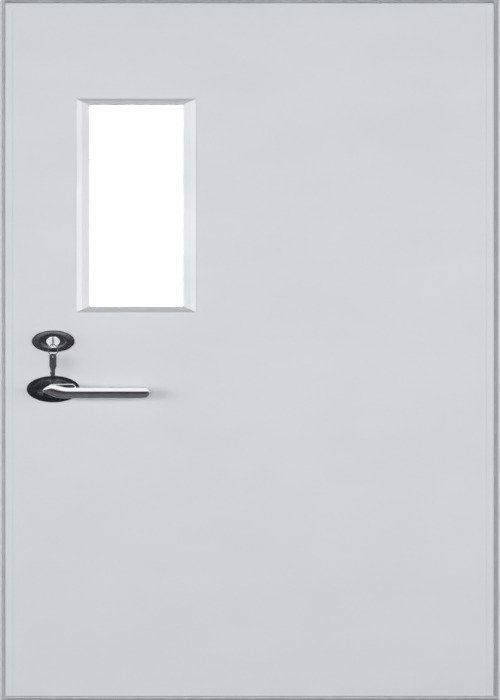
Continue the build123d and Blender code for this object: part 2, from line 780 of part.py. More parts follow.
def make_key():
    """The plug and the key in it, whose flat bow stands on edge."""
    slot_half = KEY_THICKNESS / 2
    blade_half = KEY_BLADE_HEIGHT / 2
    blade_end = plug_face + KEY_BLADE_LENGTH
    with BuildPart() as plug:
        with BuildSketch(Plane.XZ.offset(-plug_face)):
            with Locations((lever_x, cylinder_z)):
                Circle(PLUG_R)
        extrude(amount=-PLUG_LENGTH)
        block(lever_x - slot_half, lever_x + slot_half, plug_face, blade_end,
              cylinder_z - blade_half, cylinder_z + blade_half, mode=Mode.SUBTRACT)
    finish(plug, "cylinder_plug")

    bow_middle = (bow_start + bow_end) / 2
    side = Plane(origin=(lever_x - slot_half, bow_middle, cylinder_z), x_dir=(0, 1, 0), z_dir=(1, 0, 0))
    with BuildPart() as key:
        block(lever_x - slot_half, lever_x + slot_half, bow_start, blade_end,
              cylinder_z - blade_half, cylinder_z + blade_half)
        with BuildSketch(side):
            RectangleRounded(KEY_BOW_LENGTH, KEY_BOW_HEIGHT, KEY_BOW_ROUND)
            with Locations((key_hole_y - bow_middle, -KEY_HOLE_DROP)):
                Circle(KEY_HOLE_R, mode=Mode.SUBTRACT)
        extrude(amount=KEY_THICKNESS)
    finish(key, "key")


def make_spare_key():
    """A ring through the key's bow, and the second key that hangs from it."""
    wire_z = key_hole_z - KEY_HOLE_R + RING_WIRE_R + RING_SEAT_GAP
    ring_z = wire_z - RING_R
    ring_x = Vector(1, 0, 0).rotate(Axis.Z, RING_TURN)
    ring_axis = Vector(0, 1, 0).rotate(Axis.Z, RING_TURN)
    centre = Vector(lever_x, key_hole_y, ring_z)
    with BuildPart() as ring:
        with BuildSketch(Plane(origin=centre, x_dir=ring_x, z_dir=(0, 0, 1))):
            with Locations((RING_R, 0)):
                RegularPolygon(RING_WIRE_R, 6)
        revolve(axis=Axis(centre, ring_axis))
    finish(ring, "key_ring")

    hole_z = ring_z - RING_R + RING_WIRE_R + RING_SEAT_GAP - SPARE_HOLE_R
    bow_top = hole_z + SPARE_HOLE_FROM_TOP
    plane = Plane(
        origin=(lever_x, key_hole_y, bow_top),
        x_dir=Vector(1, 0, 0).rotate(Axis.Z, SPARE_TURN),
        z_dir=Vector(0, -1, 0).rotate(Axis.Z, SPARE_TURN),
    )
    with BuildPart() as spare:
        with BuildSketch(plane):
            with Locations((0, -SPARE_BOW_LENGTH / 2)):
                RectangleRounded(SPARE_BOW_WIDTH, SPARE_BOW_LENGTH, SPARE_BOW_ROUND)
            with Locations((0, -(SPARE_BOW_LENGTH + SPARE_BLADE_LENGTH) / 2)):
                Rectangle(SPARE_BLADE_WIDTH, SPARE_BOW_LENGTH + SPARE_BLADE_LENGTH)
            with Locations((0, -SPARE_HOLE_FROM_TOP)):
                Circle(SPARE_HOLE_R, mode=Mode.SUBTRACT)
        extrude(amount=SPARE_THICKNESS / 2, both=True)
    finish(spare, "spare_key")


os.makedirs("parts", exist_ok=True)
make_jamb("jamb_lock", reveal_left, -1)
make_jamb("jamb_hinge", reveal_right, 1)
make_head()
make_threshold()
make_seal()
make_strike_plate()
for hinge_number, hinge_joint in enumerate(hinge_joints, start=1):
    make_hinge(hinge_number, hinge_joint)
make_stile("stile_lock", leaf_left, -1)
make_stile("stile_hinge", leaf_right, 1)
make_top_rail()
make_bottom_rail()
make_sheet("front_sheet", front, front + SHEET)
make_sheet("back_sheet", back - SHEET, back)
make_core()
make_beads()
make_glazing()
make_lock()
make_roses()
make_escutcheons()
make_levers()
make_spindle()
make_cylinder()
make_key()
make_spare_key()
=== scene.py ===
import math

import bmesh
import bpy
from mathutils import Matrix, Vector


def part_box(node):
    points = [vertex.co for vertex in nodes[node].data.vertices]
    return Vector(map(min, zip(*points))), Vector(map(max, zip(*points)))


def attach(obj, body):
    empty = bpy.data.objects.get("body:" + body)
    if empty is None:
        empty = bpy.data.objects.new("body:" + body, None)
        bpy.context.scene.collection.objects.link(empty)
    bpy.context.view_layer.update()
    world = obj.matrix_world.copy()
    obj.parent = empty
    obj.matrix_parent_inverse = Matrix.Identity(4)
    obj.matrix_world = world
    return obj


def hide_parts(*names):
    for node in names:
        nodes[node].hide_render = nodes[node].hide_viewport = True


# Lengths are in metres, as the frame's are, unless a comment gives them in mm.
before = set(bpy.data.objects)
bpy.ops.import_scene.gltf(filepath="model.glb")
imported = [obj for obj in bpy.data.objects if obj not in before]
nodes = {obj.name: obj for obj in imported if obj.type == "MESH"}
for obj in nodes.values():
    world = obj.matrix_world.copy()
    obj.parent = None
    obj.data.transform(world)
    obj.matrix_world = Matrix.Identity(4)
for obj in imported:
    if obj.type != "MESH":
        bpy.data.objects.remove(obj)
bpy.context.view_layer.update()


# Frame: two jambs and a head, folded from 2 mm steel sheet, mitred and welded at
# the corners, and finished in the same light grey powder coat as the leaf.
PAINT = (0.640, 0.663, 0.669)
PAINT_SHADE = (0.622, 0.645, 0.652)


def new_material(name, **sockets):
    """A node material with constants on its shader's sockets."""
    material = bpy.data.materials.new(name)
    material.use_nodes = True
    shader = material.node_tree.nodes["Principled BSDF"]
    for socket, value in sockets.items():
        shader.inputs[socket.replace("_", " ")].default_value = value
    return material


def feed(material, socket, pattern):
    """Links a pattern to a socket of a material's shader."""
    tree = material.node_tree
    tree.links.new(pattern, tree.nodes["Principled BSDF"].inputs[socket])


def add_node(tree, kind, inputs, **settings):
    """One shader node, its settings, and its inputs filled with values or links."""
    made = tree.nodes.new("ShaderNode" + kind)
    for name, value in settings.items():
        setattr(made, name, value)
    for name, value in inputs.items():
        if isinstance(value, bpy.types.NodeSocket):
            tree.links.new(value, made.inputs[name])
        else:
            made.inputs[name].default_value = value
    return made


def noise(tree, scale, stretch=(1, 1, 1), detail=3.0):
    """Noise in Object coordinates; stretch squeezes the pattern along an axis."""
    place = add_node(tree, "TexCoord", {}).outputs["Object"]
    squeezed = add_node(tree, "Mapping", {"Vector": place, "Scale": stretch}).outputs["Vector"]
    made = add_node(tree, "TexNoise", {"Vector": squeezed, "Scale": scale, "Detail": detail})
    return made.outputs["Fac"]


def blend_colours(tree, pattern, first, second, start=0.35, end=0.65):
    """One colour that turns into another while a pattern runs from start to end."""
    ramp = add_node(tree, "ValToRGB", {"Fac": pattern})
    for stop, position, colour in zip(ramp.color_ramp.elements, (start, end), (first, second)):
        stop.position = position
        stop.color = (*colour, 1)
    return ramp.outputs["Color"]


def spread(tree, value, low, high, start=0.3, end=0.7, **settings):
    """A value that runs from low to high while another runs from start to end."""
    made = add_node(tree, "MapRange", {
        "Value": value, "From Min": start, "From Max": end, "To Min": low, "To Max": high}, **settings)
    return made.outputs["Result"]


def soften(piece, width):
    """Rounds a piece's sharp edges a little, so that they catch the light."""
    soft = piece.modifiers.new("soft_edges", "BEVEL")
    soft.width = width
    soft.segments = 2
    soft.limit_method = "ANGLE"
    soft.angle_limit = math.radians(30)
    soft.harden_normals = True


def dress(names, material, bevel=0.0):
    """Gives CAD nodes their material, and soft edges where they have any."""
    for name in names:
        node = nodes[name]
        node.data.materials.clear()
        node.data.materials.append(material)
        if bevel:
            weld = node.modifiers.new("weld", "WELD")
            weld.merge_threshold = 1e-5
            soften(node, bevel)


def powder_coat(name, tone, gloss):
    """Paint in a tone of the light grey, faintly patchy, with a fine orange peel."""
    material = new_material(name, Specular_IOR_Level=gloss)
    tree = material.node_tree
    first, second = [[tone * part for part in colour] for colour in (PAINT, PAINT_SHADE)]
    peel = add_node(tree, "Bump", {
        "Height": noise(tree, 420.0, detail=2.0), "Strength": 0.12, "Distance": 0.0004})
    feed(material, "Base Color", blend_colours(tree, noise(tree, 3.0, (1, 1, 2.5)), first, second))
    feed(material, "Roughness", spread(tree, noise(tree, 12.0), 0.30, 0.38))
    feed(material, "Normal", peel.outputs["Normal"])
    return material


paint = powder_coat("light_grey_paint", tone=1.0, gloss=0.25)
dress(["jamb_lock", "jamb_hinge", "head"], paint, bevel=0.0012)


# Gap seals: grey rubber lips clipped to the frame's reveals behind the face, all of
# one section, which close the gap round the leaf but for a hair's breadth.
LIP_SET_BACK = {"lock": 0.005, "hinge": 0.009, "head": 0.030, "sill": 0.006}
LIP_REACH = {"lock": 0.0083, "hinge": 0.0113, "head": 0.0063, "sill": 0.0067}
LIP_DEPTH = 0.004
LIP_SECTION = [(0, 0), (0.8, 0), (1, 0.25), (1, 0.75), (0.8, 1), (0, 1)]


def mottled(name, colours, scale, roughness, rough_scale, stretch=(1, 1, 1), **sockets):
    """A material that wanders between two colours, and between two roughnesses."""
    material = new_material(name, **sockets)
    tree = material.node_tree
    feed(material, "Base Color", blend_colours(tree, noise(tree, scale, stretch), *colours))
    feed(material, "Roughness", spread(tree, noise(tree, rough_scale, stretch), *roughness))
    return material


def link_piece(name, shape, material, body, replaced=(), bevel=0.0):
    """Makes a closed mesh shape a piece that rides a body of the door."""
    bmesh.ops.remove_doubles(shape, verts=shape.verts, dist=1e-6)
    bmesh.ops.recalc_face_normals(shape, faces=shape.faces)
    mesh = bpy.data.meshes.new(name)
    shape.to_mesh(mesh)
    shape.free()
    mesh.shade_smooth()
    mesh.set_sharp_from_angle(angle=math.radians(35))
    mesh.materials.append(material)
    piece = bpy.data.objects.new(name, mesh)
    bpy.context.scene.collection.objects.link(piece)
    if bevel:
        soften(piece, bevel)
    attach(piece, body)
    if replaced:
        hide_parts(*replaced)


def moved(made):
    """The corners of what an extrusion has just made."""
    return [item for item in made["geom"] if isinstance(item, bmesh.types.BMVert)]


def add_lip(shape, side, corner, way, along):
    """One run of the lip: its section set on a corner of the reveal, drawn out along it."""
    root = Vector(corner) + Vector((0, LIP_SET_BACK[side], 0))
    reach = Vector(way) * LIP_REACH[side]
    depth = Vector((0, LIP_DEPTH, 0))
    section = [shape.verts.new(root + reach * out + depth * back) for out, back in LIP_SECTION]
    made = bmesh.ops.extrude_face_region(shape, geom=[shape.faces.new(section)])
    bmesh.ops.translate(shape, verts=moved(made), vec=along)


sill_low, sill_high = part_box("threshold")
head_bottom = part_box("head")[0].z
rise = (0, 0, head_bottom - sill_high.z)
run = (sill_high.x - sill_low.x, 0, 0)
lips = bmesh.new()
add_lip(lips, "lock", (sill_low.x, sill_low.y, sill_high.z), (1, 0, 0), rise)
add_lip(lips, "hinge", (sill_high.x, sill_low.y, sill_high.z), (-1, 0, 0), rise)
add_lip(lips, "head", (sill_low.x, sill_low.y, head_bottom), (0, 0, -1), run)
add_lip(lips, "sill", (sill_low.x, sill_low.y, sill_high.z), (0, 0, 1), run)
grey_rubber = mottled("grey_rubber", [(0.45, 0.47, 0.48), (0.50, 0.52, 0.53)], scale=60.0,
                      roughness=(0.55, 0.70), rough_scale=80.0)
link_piece("gap_seals", lips, grey_rubber, "root")


# Threshold: an extruded metal sill laid between the jambs, which the leaf closes
# over. It is bare metal, brushed along its length.
plain_steel = mottled("plain_steel", [(0.56, 0.56, 0.55), (0.70, 0.70, 0.69)], scale=40.0,
                      roughness=(0.28, 0.42), rough_scale=40.0, stretch=(0.05, 1, 30), Metallic=1.0)
dress(["threshold"], plain_steel, bevel=0.0006)


# Leaf: two face sheets held between folded edge channels, all powder coated, with
# the seams between sheet and hem filled nearly flush and painted over.
SEAM_WIDTH = 0.0012
SEAM_SUNK = 0.0001

dress(["front_sheet", "back_sheet"], paint, bevel=0.0003)
dress(["stile_lock", "stile_hinge", "rail_top", "rail_bottom"], paint, bevel=0.0008)
seams = bmesh.new()
for sheet, inward in (("front_sheet", SEAM_SUNK), ("back_sheet", -SEAM_SUNK)):
    low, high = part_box(sheet)
    left, right, top = low.x - SEAM_WIDTH, high.x + SEAM_WIDTH, high.z + SEAM_WIDTH
    inner = [(high.x, low.z), (high.x, high.z), (low.x, high.z), (low.x, low.z)]
    outer = [(left, low.z), (left, top), (right, top), (right, low.z)]
    hoop = seams.faces.new([seams.verts.new((x, low.y + inward, z)) for x, z in outer + inner])
    made = bmesh.ops.extrude_face_region(seams, geom=[hoop])
    bmesh.ops.translate(seams, verts=moved(made), vec=(0, high.y - low.y, 0))
link_piece("filled_seams", seams, paint, "leaf")


# Core: pressed insulating boards that fill the leaf between its sheets, cut out for
# the window and the lock. They show only inside those cut-outs.
insulation = new_material("insulation", Roughness=0.95)
grain = noise(insulation.node_tree, 160.0)
board_tones = [(0.55, 0.47, 0.30), (0.66, 0.58, 0.40)]
feed(insulation, "Base Color", blend_colours(insulation.node_tree, grain, *board_tones))
dress(["core_lock_side", "core_hinge_side", "core_above_window", "core_below_window"], insulation)


# Glazing beads: pressed from the same sheet as the leaf and mitred. The upright ones are glossier,
# as the photograph shows them; the cross ones are painted a shade darker, as painted shade for their slopes
# that face up and down.
upright_bead_paint = powder_coat("upright_bead_paint", tone=1.0, gloss=0.75)
# Painted shade: the cross beads' paint is a tenth darker in tone, in place of shade on their slopes.
cross_bead_painted_shade = powder_coat("cross_bead_painted_shade", tone=0.9, gloss=0.25)
for side in ("front", "back"):
    dress([f"bead_{side}_left", f"bead_{side}_right"], upright_bead_paint, bevel=0.0006)
    dress([f"bead_{side}_top", f"bead_{side}_bottom"], cross_bead_painted_shade, bevel=0.0006)


# Glass unit: two clear panes on a metal spacer, held between the beads by a gasket
# of black rubber. The seal round the frame's reveal is of the same rubber.
glass = new_material("glass", Base_Color=(1, 1, 1, 1), Transmission_Weight=1.0, IOR=1.4)
feed(glass, "Roughness", spread(glass.node_tree, noise(glass.node_tree, 6.0), 0.0, 0.01))
dress(["pane_front", "pane_back"], glass)
dress(["spacer"], plain_steel)
black_rubber = mottled("black_rubber", [(0.02, 0.02, 0.02), (0.035, 0.035, 0.035)], scale=90.0,
                       roughness=(0.55, 0.75), rough_scale=60.0)
dress(["gasket", "seal"], black_rubber)


# Roses and escutcheons: oval plates of dark nickel, each with a raised ring, clipped
# on black bases, whose black is painted shade in place of a dark reflection on the rims.
# They are turned as round plates from sections of (radius, stand-off) in mm, then drawn
# out to about twice their height.
ROSE_SECTION = [(8, 0), (8, 5.6), (22, 5.6), (24, 6.6), (25.5, 7.0), (27, 6.4), (31.8, 6.1), (32.2, 5.2),
                (32.2, 0)]
ROSE_BASE = [(31.5, 0), (31.5, 4.8), (36, 4.4), (37.5, 2.8), (38, 1.0), (38, 0)]
COLLAR_SECTION = [(12.1, 0), (12.1, 9.6), (12.6, 10.0), (16.2, 10.0), (17.0, 9.2), (17.0, 0)]
GUARD_SECTION = [(8, 0), (8, 8.6), (17, 8.6), (18.5, 9.1), (20, 9.6), (22, 9.6), (28.6, 8.0), (29, 6.5),
                 (29, 0)]
GUARD_BASE = [(28.5, 0), (28.5, 6.0), (30, 5.2), (31, 3.0), (31, 0)]
ROSE_STRETCH = 2.0
GUARD_STRETCH = 61 / 31


def turn(shape, section, steps=96, stretch=1.0):
    """Spins a section in mm round the Y axis, towards the front, and gives its corners."""
    before = set(shape.verts)
    ring = [shape.verts.new((radius / 1000, -out / 1000, 0)) for radius, out in section]
    edges = [shape.edges.new(pair) for pair in zip(ring, ring[1:])]
    if section[0][0] > 0:
        edges.append(shape.edges.new((ring[-1], ring[0])))
    bmesh.ops.spin(shape, geom=ring + edges, cent=(0, 0, 0), axis=(0, 1, 0), angle=math.tau,
                   steps=steps, use_merge=True)
    turned = [vert for vert in shape.verts if vert not in before]
    bmesh.ops.scale(shape, vec=(stretch, 1, 1), verts=turned)
    return turned


def place_fitting(shape, node, side):
    """Sets a fitting made at the origin on its node's axis, and mirrors it for the back."""
    low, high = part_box(node)
    on_sheet = ((low.x + high.x) / 2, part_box("front_sheet")[0].y, (low.z + high.z) / 2)
    bmesh.ops.translate(shape, verts=shape.verts, vec=on_sheet)
    if side == "back":
        bmesh.ops.scale(shape, vec=(1, -1, 1), verts=shape.verts)


rose_nickel = mottled("rose_nickel", [(0.086, 0.098, 0.114), (0.126, 0.140, 0.158)], scale=30.0,
                      roughness=(0.22, 0.30), rough_scale=200.0, Metallic=1.0)
# Painted sheen: the escutcheons' nickel is about twice as light as the roses', for a brighter reflection.
guard_nickel_painted_sheen = mottled("guard_nickel_painted_sheen", [(0.205, 0.222, 0.246), (0.275, 0.294, 0.320)], scale=30.0,
                       roughness=(0.22, 0.30), rough_scale=200.0, Metallic=1.0)
# Painted shade: the bases' near-black stands in for the dark reflection round the plates' rims.
black_base_painted_shade = mottled("black_base_painted_shade", [(0.008, 0.009, 0.011), (0.016, 0.017, 0.020)], scale=150.0,
                     roughness=(0.35, 0.50), rough_scale=200.0, Specular_IOR_Level=0.15)
for side in ("front", "back"):
    rose = bmesh.new()
    turn(rose, ROSE_SECTION, stretch=ROSE_STRETCH)
    turn(rose, COLLAR_SECTION)
    place_fitting(rose, "rose_front", side)
    link_piece(f"rose_plate_{side}", rose, rose_nickel, "leaf", [f"rose_{side}"])
    guard = bmesh.new()
    turn(guard, GUARD_SECTION, stretch=GUARD_STRETCH)
    place_fitting(guard, "escutcheon_front", side)
    link_piece(f"cylinder_guard_{side}", guard, guard_nickel_painted_sheen, "leaf", [f"escutcheon_{side}"])
    bases = (("rose_base", "rose_front", ROSE_BASE, ROSE_STRETCH),
             ("guard_base", "escutcheon_front", GUARD_BASE, GUARD_STRETCH))
    for name, node, section, stretch in bases:
        base = bmesh.new()
        turn(base, section, stretch=stretch)
        place_fitting(base, node, side)
        link_piece(f"{name}_{side}", base, black_base_painted_shade, "leaf")


# Levers: cast and polished, a bar carried by a hollow root that narrows to the neck in
# the rose. Sizes are in mm from the lever's axis, and the bar's outline is drawn
# after the photograph.

# The bar's section has corners (stand-off, z), with how far each is cut. It is scaled
# to fill each station of the bar.
BAR_SECTION = [((36, -25.5), 5), ((53.3, -25.5), 3.5), ((54, -12), 3), ((54, -4), 4), ((48, 5), 3),
               ((36, 5), 4)]
BAR_BACK = 36
BAR_FRONT = 54

# Stations are (x, bottom, top, back, front), or (x, bottom, top) at full depth.
TIP_STATIONS = [(277, -11, -6, 38, 52), (276.4, -15, -2.5, 36.8, 53.2), (274.5, -18.5, 0.8, 36.2, 53.8)]
END_STATIONS = [(271.5, -21.5, 3), (267, -24, 4.5), (261, -25.3, 5), (252, -25.5, 5)]
ROOT_STATIONS = [(46, -25.5, 5), (38, -25.5, 5.4), (30, -25.5, 6.7), (22, -25.2, 8.6), (12, -24.1, 11.4),
                 (4, -21.6, 13.5), (-2, -19.1, 14.6), (-7, -17, 13.7), (-12, -14.9, 10.9), (-18, -12.4, 7.2),
                 (-23, -10.3, 4.1)]
HEEL_STATIONS = [(-26.5, -8.8, 1.2, 36.5, 53.5), (-27.6, -7.6, -1.2, 38.5, 51.5),
                 (-28, -6.4, -2.8, 41.5, 48.5)]

# The root's loop has corners (x, z) between two stand-offs. The neck behind it has
# stations (left, right, half height, stand-off).
LOOP_CORNERS = [(66, 15.5), (-12, 15.5), (-12, -15.5), (66, -15.5)]
LOOP_CUT = 12
LOOP_LOW = 33.0
LOOP_HIGH = 38.5
LOOP_ROUND = 2.5
LOOP_WALL = 1.0
LOOP_HOLLOW = 9.0
NECK_STATIONS = [(-11, 64, 15.3, 30), (-11.5, 54, 15, 25), (-12, 36, 14, 19), (-12, 16, 12.5, 14),
                 (-12, 12, 12, 8)]


def round_face(shape, corners, cuts, segments=10):
    """A flat face between corners in mm, each of them cut back in an arc."""
    before = set(shape.faces)
    verts = [shape.verts.new(Vector(corner) / 1000) for corner in corners]
    shape.faces.new(verts)
    for vert, cut in zip(verts, cuts):
        bmesh.ops.bevel(shape, geom=[vert], offset=cut / 1000, offset_type="OFFSET", segments=segments,
                        profile=0.5, affect="VERTICES", material=-1)
    return (set(shape.faces) - before).pop()


def thicken(shape, face, way):
    """Draws a flat face out into a slab, and gives its far face."""
    made = bmesh.ops.extrude_face_region(shape, geom=[face])
    far = next(item for item in made["geom"] if isinstance(item, bmesh.types.BMFace))
    bmesh.ops.translate(shape, verts=far.verts, vec=Vector(way) / 1000)
    bmesh.ops.recalc_face_normals(shape, faces=shape.faces)
    return far


def fill_box(shape, face, low, high):
    """Scales and moves a face until it fills the box between two corners in mm."""
    low, high = Vector(low) / 1000, Vector(high) / 1000
    old_low = Vector([min(vert.co[i] for vert in face.verts) for i in range(3)])
    old_high = Vector([max(vert.co[i] for vert in face.verts) for i in range(3)])
    size = [(high[i] - low[i]) / max(old_high[i] - old_low[i], 1e-6) for i in range(3)]
    bmesh.ops.scale(shape, vec=size, verts=face.verts, space=Matrix.Translation(-old_low))
    bmesh.ops.translate(shape, verts=face.verts, vec=low - old_low)


def draw_on(shape, face, low, high):
    """Draws a face on by one step, to fill the next box."""
    bmesh.ops.inset_region(shape, faces=[face], thickness=0, depth=0.001)
    fill_box(shape, face, low, high)


def crown(shape, face, radius, steps=4):
    """Rounds a flat face's edge by insets that rise along a quarter circle."""
    angles = [math.pi / 2 * step / steps for step in range(steps + 1)]
    for low, high in zip(angles, angles[1:]):
        inward = radius / 1000 * (math.cos(low) - math.cos(high))
        rise = radius / 1000 * (math.sin(high) - math.sin(low))
        bmesh.ops.inset_region(shape, faces=[face], thickness=inward, depth=rise, use_even_offset=True)


polished_steel = mottled("polished_steel", [(0.84, 0.86, 0.87), (0.90, 0.92, 0.93)], scale=60.0,
                         roughness=(0.10, 0.16), rough_scale=60.0, stretch=(0.05, 1, 1), Metallic=1.0)
full_depth = [(*station, BAR_BACK, BAR_FRONT) for station in END_STATIONS + ROOT_STATIONS]
stations = TIP_STATIONS + full_depth + HEEL_STATIONS
boxes = [((x, -front, bottom), (x, -back, top)) for x, bottom, top, back, front in stations]
for side in ("front", "back"):
    lever = bmesh.new()
    bar = round_face(lever, [(0, -out, z) for (out, z), _ in BAR_SECTION], [cut for _, cut in BAR_SECTION])
    fill_box(lever, bar, *boxes[0])
    bar = thicken(lever, bar, (-1, 0, 0))
    fill_box(lever, bar, *boxes[1])
    for box in boxes[2:]:
        draw_on(lever, bar, *box)
    neck = round_face(lever, [(x, -LOOP_LOW, z) for x, z in LOOP_CORNERS], [LOOP_CUT] * len(LOOP_CORNERS))
    mouth = thicken(lever, neck, (0, LOOP_LOW - LOOP_HIGH, 0))
    crown(lever, mouth, LOOP_ROUND)
    for hollow in (0, LOOP_HOLLOW):
        bmesh.ops.inset_region(lever, faces=[mouth], thickness=LOOP_WALL / 1000, depth=-hollow / 1000,
                               use_even_offset=True)
    for left, right, half_height, out in NECK_STATIONS:
        draw_on(lever, neck, (left, -out, -half_height), (right, -out, half_height))
    place_fitting(lever, "rose_front", side)
    link_piece(f"lever_handle_{side}", lever, polished_steel, "lever_set",
               [f"lever_{side}"])


# Lock: a nickel-plated cylinder through the leaf, and the zinc-plated case, forend,
# bolts and strike plate. Countersunk screws, turned from a section of (radius,
# stand-off) in mm, hold the forend and the strike plate.
SCREW_SECTION = [(0, -0.9), (1.5, -0.8), (1.7, 0.4), (3.2, 0.5), (3.8, 0.2), (3.9, -0.5)]
SCREW_INSET = 0.010

# Painted highlight: the cylinder and plug are near-white and barely metallic, so their faces read as bright
# as a glint.
bright_nickel = mottled("bright_nickel", [(0.92, 0.935, 0.95), (0.96, 0.97, 0.98)], scale=80.0,
                        roughness=(0.25, 0.38), rough_scale=150.0, Metallic=0.2)
dress(["lock_cylinder", "cylinder_plug"], bright_nickel, bevel=0.0004)
dress(["lock_case", "forend", "lock_bolts", "spindle", "strike_plate"], plain_steel)


def set_down(shape, verts, place, degrees, axis="Z"):
    """Turns corners about an axis through the origin, and carries them to their place."""
    turned = Matrix.Rotation(math.radians(degrees), 4, axis)
    bmesh.ops.transform(shape, matrix=Matrix.Translation(place) @ turned, verts=verts)


def add_screw(shape, place, degrees):
    """One screw head, turned about Z from facing the front."""
    set_down(shape, turn(shape, SCREW_SECTION, steps=24), place, degrees)


strike_screws = bmesh.new()
low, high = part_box("strike_plate")
for height in (low.z + SCREW_INSET, high.z - SCREW_INSET):
    add_screw(strike_screws, (high.x, (low.y + high.y) / 2, height), 90)
link_piece("strike_screws", strike_screws, plain_steel, "root")
forend_screws = bmesh.new()
low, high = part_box("forend")
for height in (low.z + SCREW_INSET, high.z - SCREW_INSET):
    add_screw(forend_screws, (low.x, (low.y + high.y) / 2, height), -90)
link_piece("forend_screws", forend_screws, plain_steel, "leaf")


# Keys: stamped from steel sheet with a sunk middle, one in the plug and one on the
# split ring. Sizes are in mm and turns in degrees. Corners and holes are (across,
# along) from the bow's end, and each corner has how far it is cut.
KEY_CORNERS = [((-14, 0), 8), ((14, 0), 8), ((14, -19), 6), ((7, -26), 2), ((4, -27), 0.5), ((4, -54), 1.5),
               ((2, -56), 1), ((-4, -56), 1.5), ((-4, -27), 0.5), ((-7, -26), 2), ((-14, -19), 6)]
KEY_HOLE = (6.0, -8.0)
SPARE_CORNERS = [((-13.5, 0), 9), ((13.5, 0), 9), ((13.5, -38), 5), ((7.5, -44), 3), ((7.5, -61), 2),
                 ((3.5, -65), 1), ((-3.5, -65), 1), ((-6.5, -62), 0.5), ((-6.5, -60), 0.3),
                 ((-4.5, -58), 0.3), ((-4.5, -57), 0.3), ((-7, -55), 0.3), ((-7, -53.5), 0.3),
                 ((-5, -51.5), 0.3), ((-5, -50.5), 0.3), ((-7.5, -48.5), 0.3), ((-7.5, -44), 3),
                 ((-13.5, -38), 5)]
SPARE_HOLE = (0.0, -8.0)
HOLE_RADIUS = 3.4
KEY_THICKNESS = 2.5
KEY_SUNK = 0.35
KEY_RIM = 1.3
KEY_EDGE = 0.2
SPARE_TURN = -45
RING_TURN = 35
RING_RADIUS = 16.0
RING_STRIP = (1.15, 0.38)
RING_PITCH = 0.8
RING_COILS = 2
RING_STEPS = 144


def stamp_key(corners, hole):
    """A flat key, X across it and Z along it, with its hole and sunk sides."""
    shape = bmesh.new()
    side = -KEY_THICKNESS / 2
    round_face(shape, [(x, side, z) for (x, z), _ in corners], [cut for _, cut in corners], segments=5)
    bmesh.ops.delete(shape, geom=shape.faces[:], context="FACES_ONLY")
    middle = Matrix.Translation(Vector((hole[0], side, hole[1])) / 1000)
    upright = Matrix.Rotation(math.radians(90), 4, "X")
    bmesh.ops.create_circle(shape, segments=24, radius=HOLE_RADIUS / 1000, matrix=middle @ upright)
    bmesh.ops.triangle_fill(shape, edges=shape.edges[:], use_beauty=True)
    sides = [shape.faces[:]]
    made = bmesh.ops.extrude_face_region(shape, geom=shape.faces[:])
    sides.append([item for item in made["geom"] if isinstance(item, bmesh.types.BMFace)])
    bmesh.ops.translate(shape, verts=moved(made), vec=(0, KEY_THICKNESS / 1000, 0))
    bmesh.ops.recalc_face_normals(shape, faces=shape.faces)
    for faces in sides:
        for width, sunk in ((KEY_RIM, 0), (KEY_SUNK, KEY_SUNK)):
            bmesh.ops.inset_region(shape, faces=faces, thickness=width / 1000, depth=-sunk / 1000,
                                   use_even_offset=True)
    return shape


key_steel = mottled("key_steel", [(0.070, 0.085, 0.080), (0.102, 0.119, 0.112)], scale=120.0,
                    roughness=(0.28, 0.42), rough_scale=150.0, Metallic=1.0)
key = stamp_key(KEY_CORNERS, KEY_HOLE)
low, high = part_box("key")
set_down(key, key.verts, (0, 0, 0), 90, "X")
set_down(key, key.verts, ((low.x + high.x) / 2, low.y, (low.z + high.z) / 2), 90, "Y")
link_piece("key_in_lock", key, key_steel, "key_set", ["key"], bevel=KEY_EDGE / 1000)

spare = stamp_key(SPARE_CORNERS, SPARE_HOLE)
low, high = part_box("spare_key")
set_down(spare, spare.verts, ((low.x + high.x) / 2, (low.y + high.y) / 2, high.z), SPARE_TURN)
link_piece("hanging_key", spare, key_steel, "spare_key_set", ["spare_key"],
           bevel=KEY_EDGE / 1000)

# The ring's strip starts as a circle of 1 mm and is flattened to its half sizes.
ring = bmesh.new()
bmesh.ops.create_circle(ring, segments=10, radius=0.001)
bmesh.ops.scale(ring, vec=(*RING_STRIP, 1), verts=ring.verts)
bmesh.ops.translate(ring, verts=ring.verts, vec=(RING_RADIUS / 1000, -RING_PITCH / 1000, 0))
bmesh.ops.spin(ring, geom=ring.verts[:] + ring.edges[:], cent=(0, 0, 0), axis=(0, 1, 0),
               angle=RING_COILS * math.tau, steps=RING_STEPS,
               dvec=(0, RING_COILS * RING_PITCH / RING_STEPS / 1000, 0))
bmesh.ops.holes_fill(ring, edges=[edge for edge in ring.edges if edge.is_boundary])
low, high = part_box("key_ring")
set_down(ring, ring.verts, (low + high) / 2, RING_TURN)
link_piece("split_ring", ring, key_steel, "spare_key_set", ["key_ring"])


# Hinges: lift-off pairs of zinc-plated steel, their plates screwed to the leaf's lip
# and to the frame's back. Caps turned from a section of (radius, stand-off) in mm
# close their ends.
CAP_SECTION = [(0, 4.0), (4, 3.7), (6.6, 2.6), (7.6, 1.0), (8.0, 0.8), (8.0, -0.5)]
PLATE_THICKNESS = 0.003
SCREW_FROM_END = 0.013
LEAF_SCREWS = (0.009, 0.034)
FRAME_SCREW = 0.005


def add_cap(shape, place, degrees):
    """A cap on a hinge's end, turned about X from facing the front."""
    set_down(shape, turn(shape, CAP_SECTION, steps=48), place, degrees, "X")


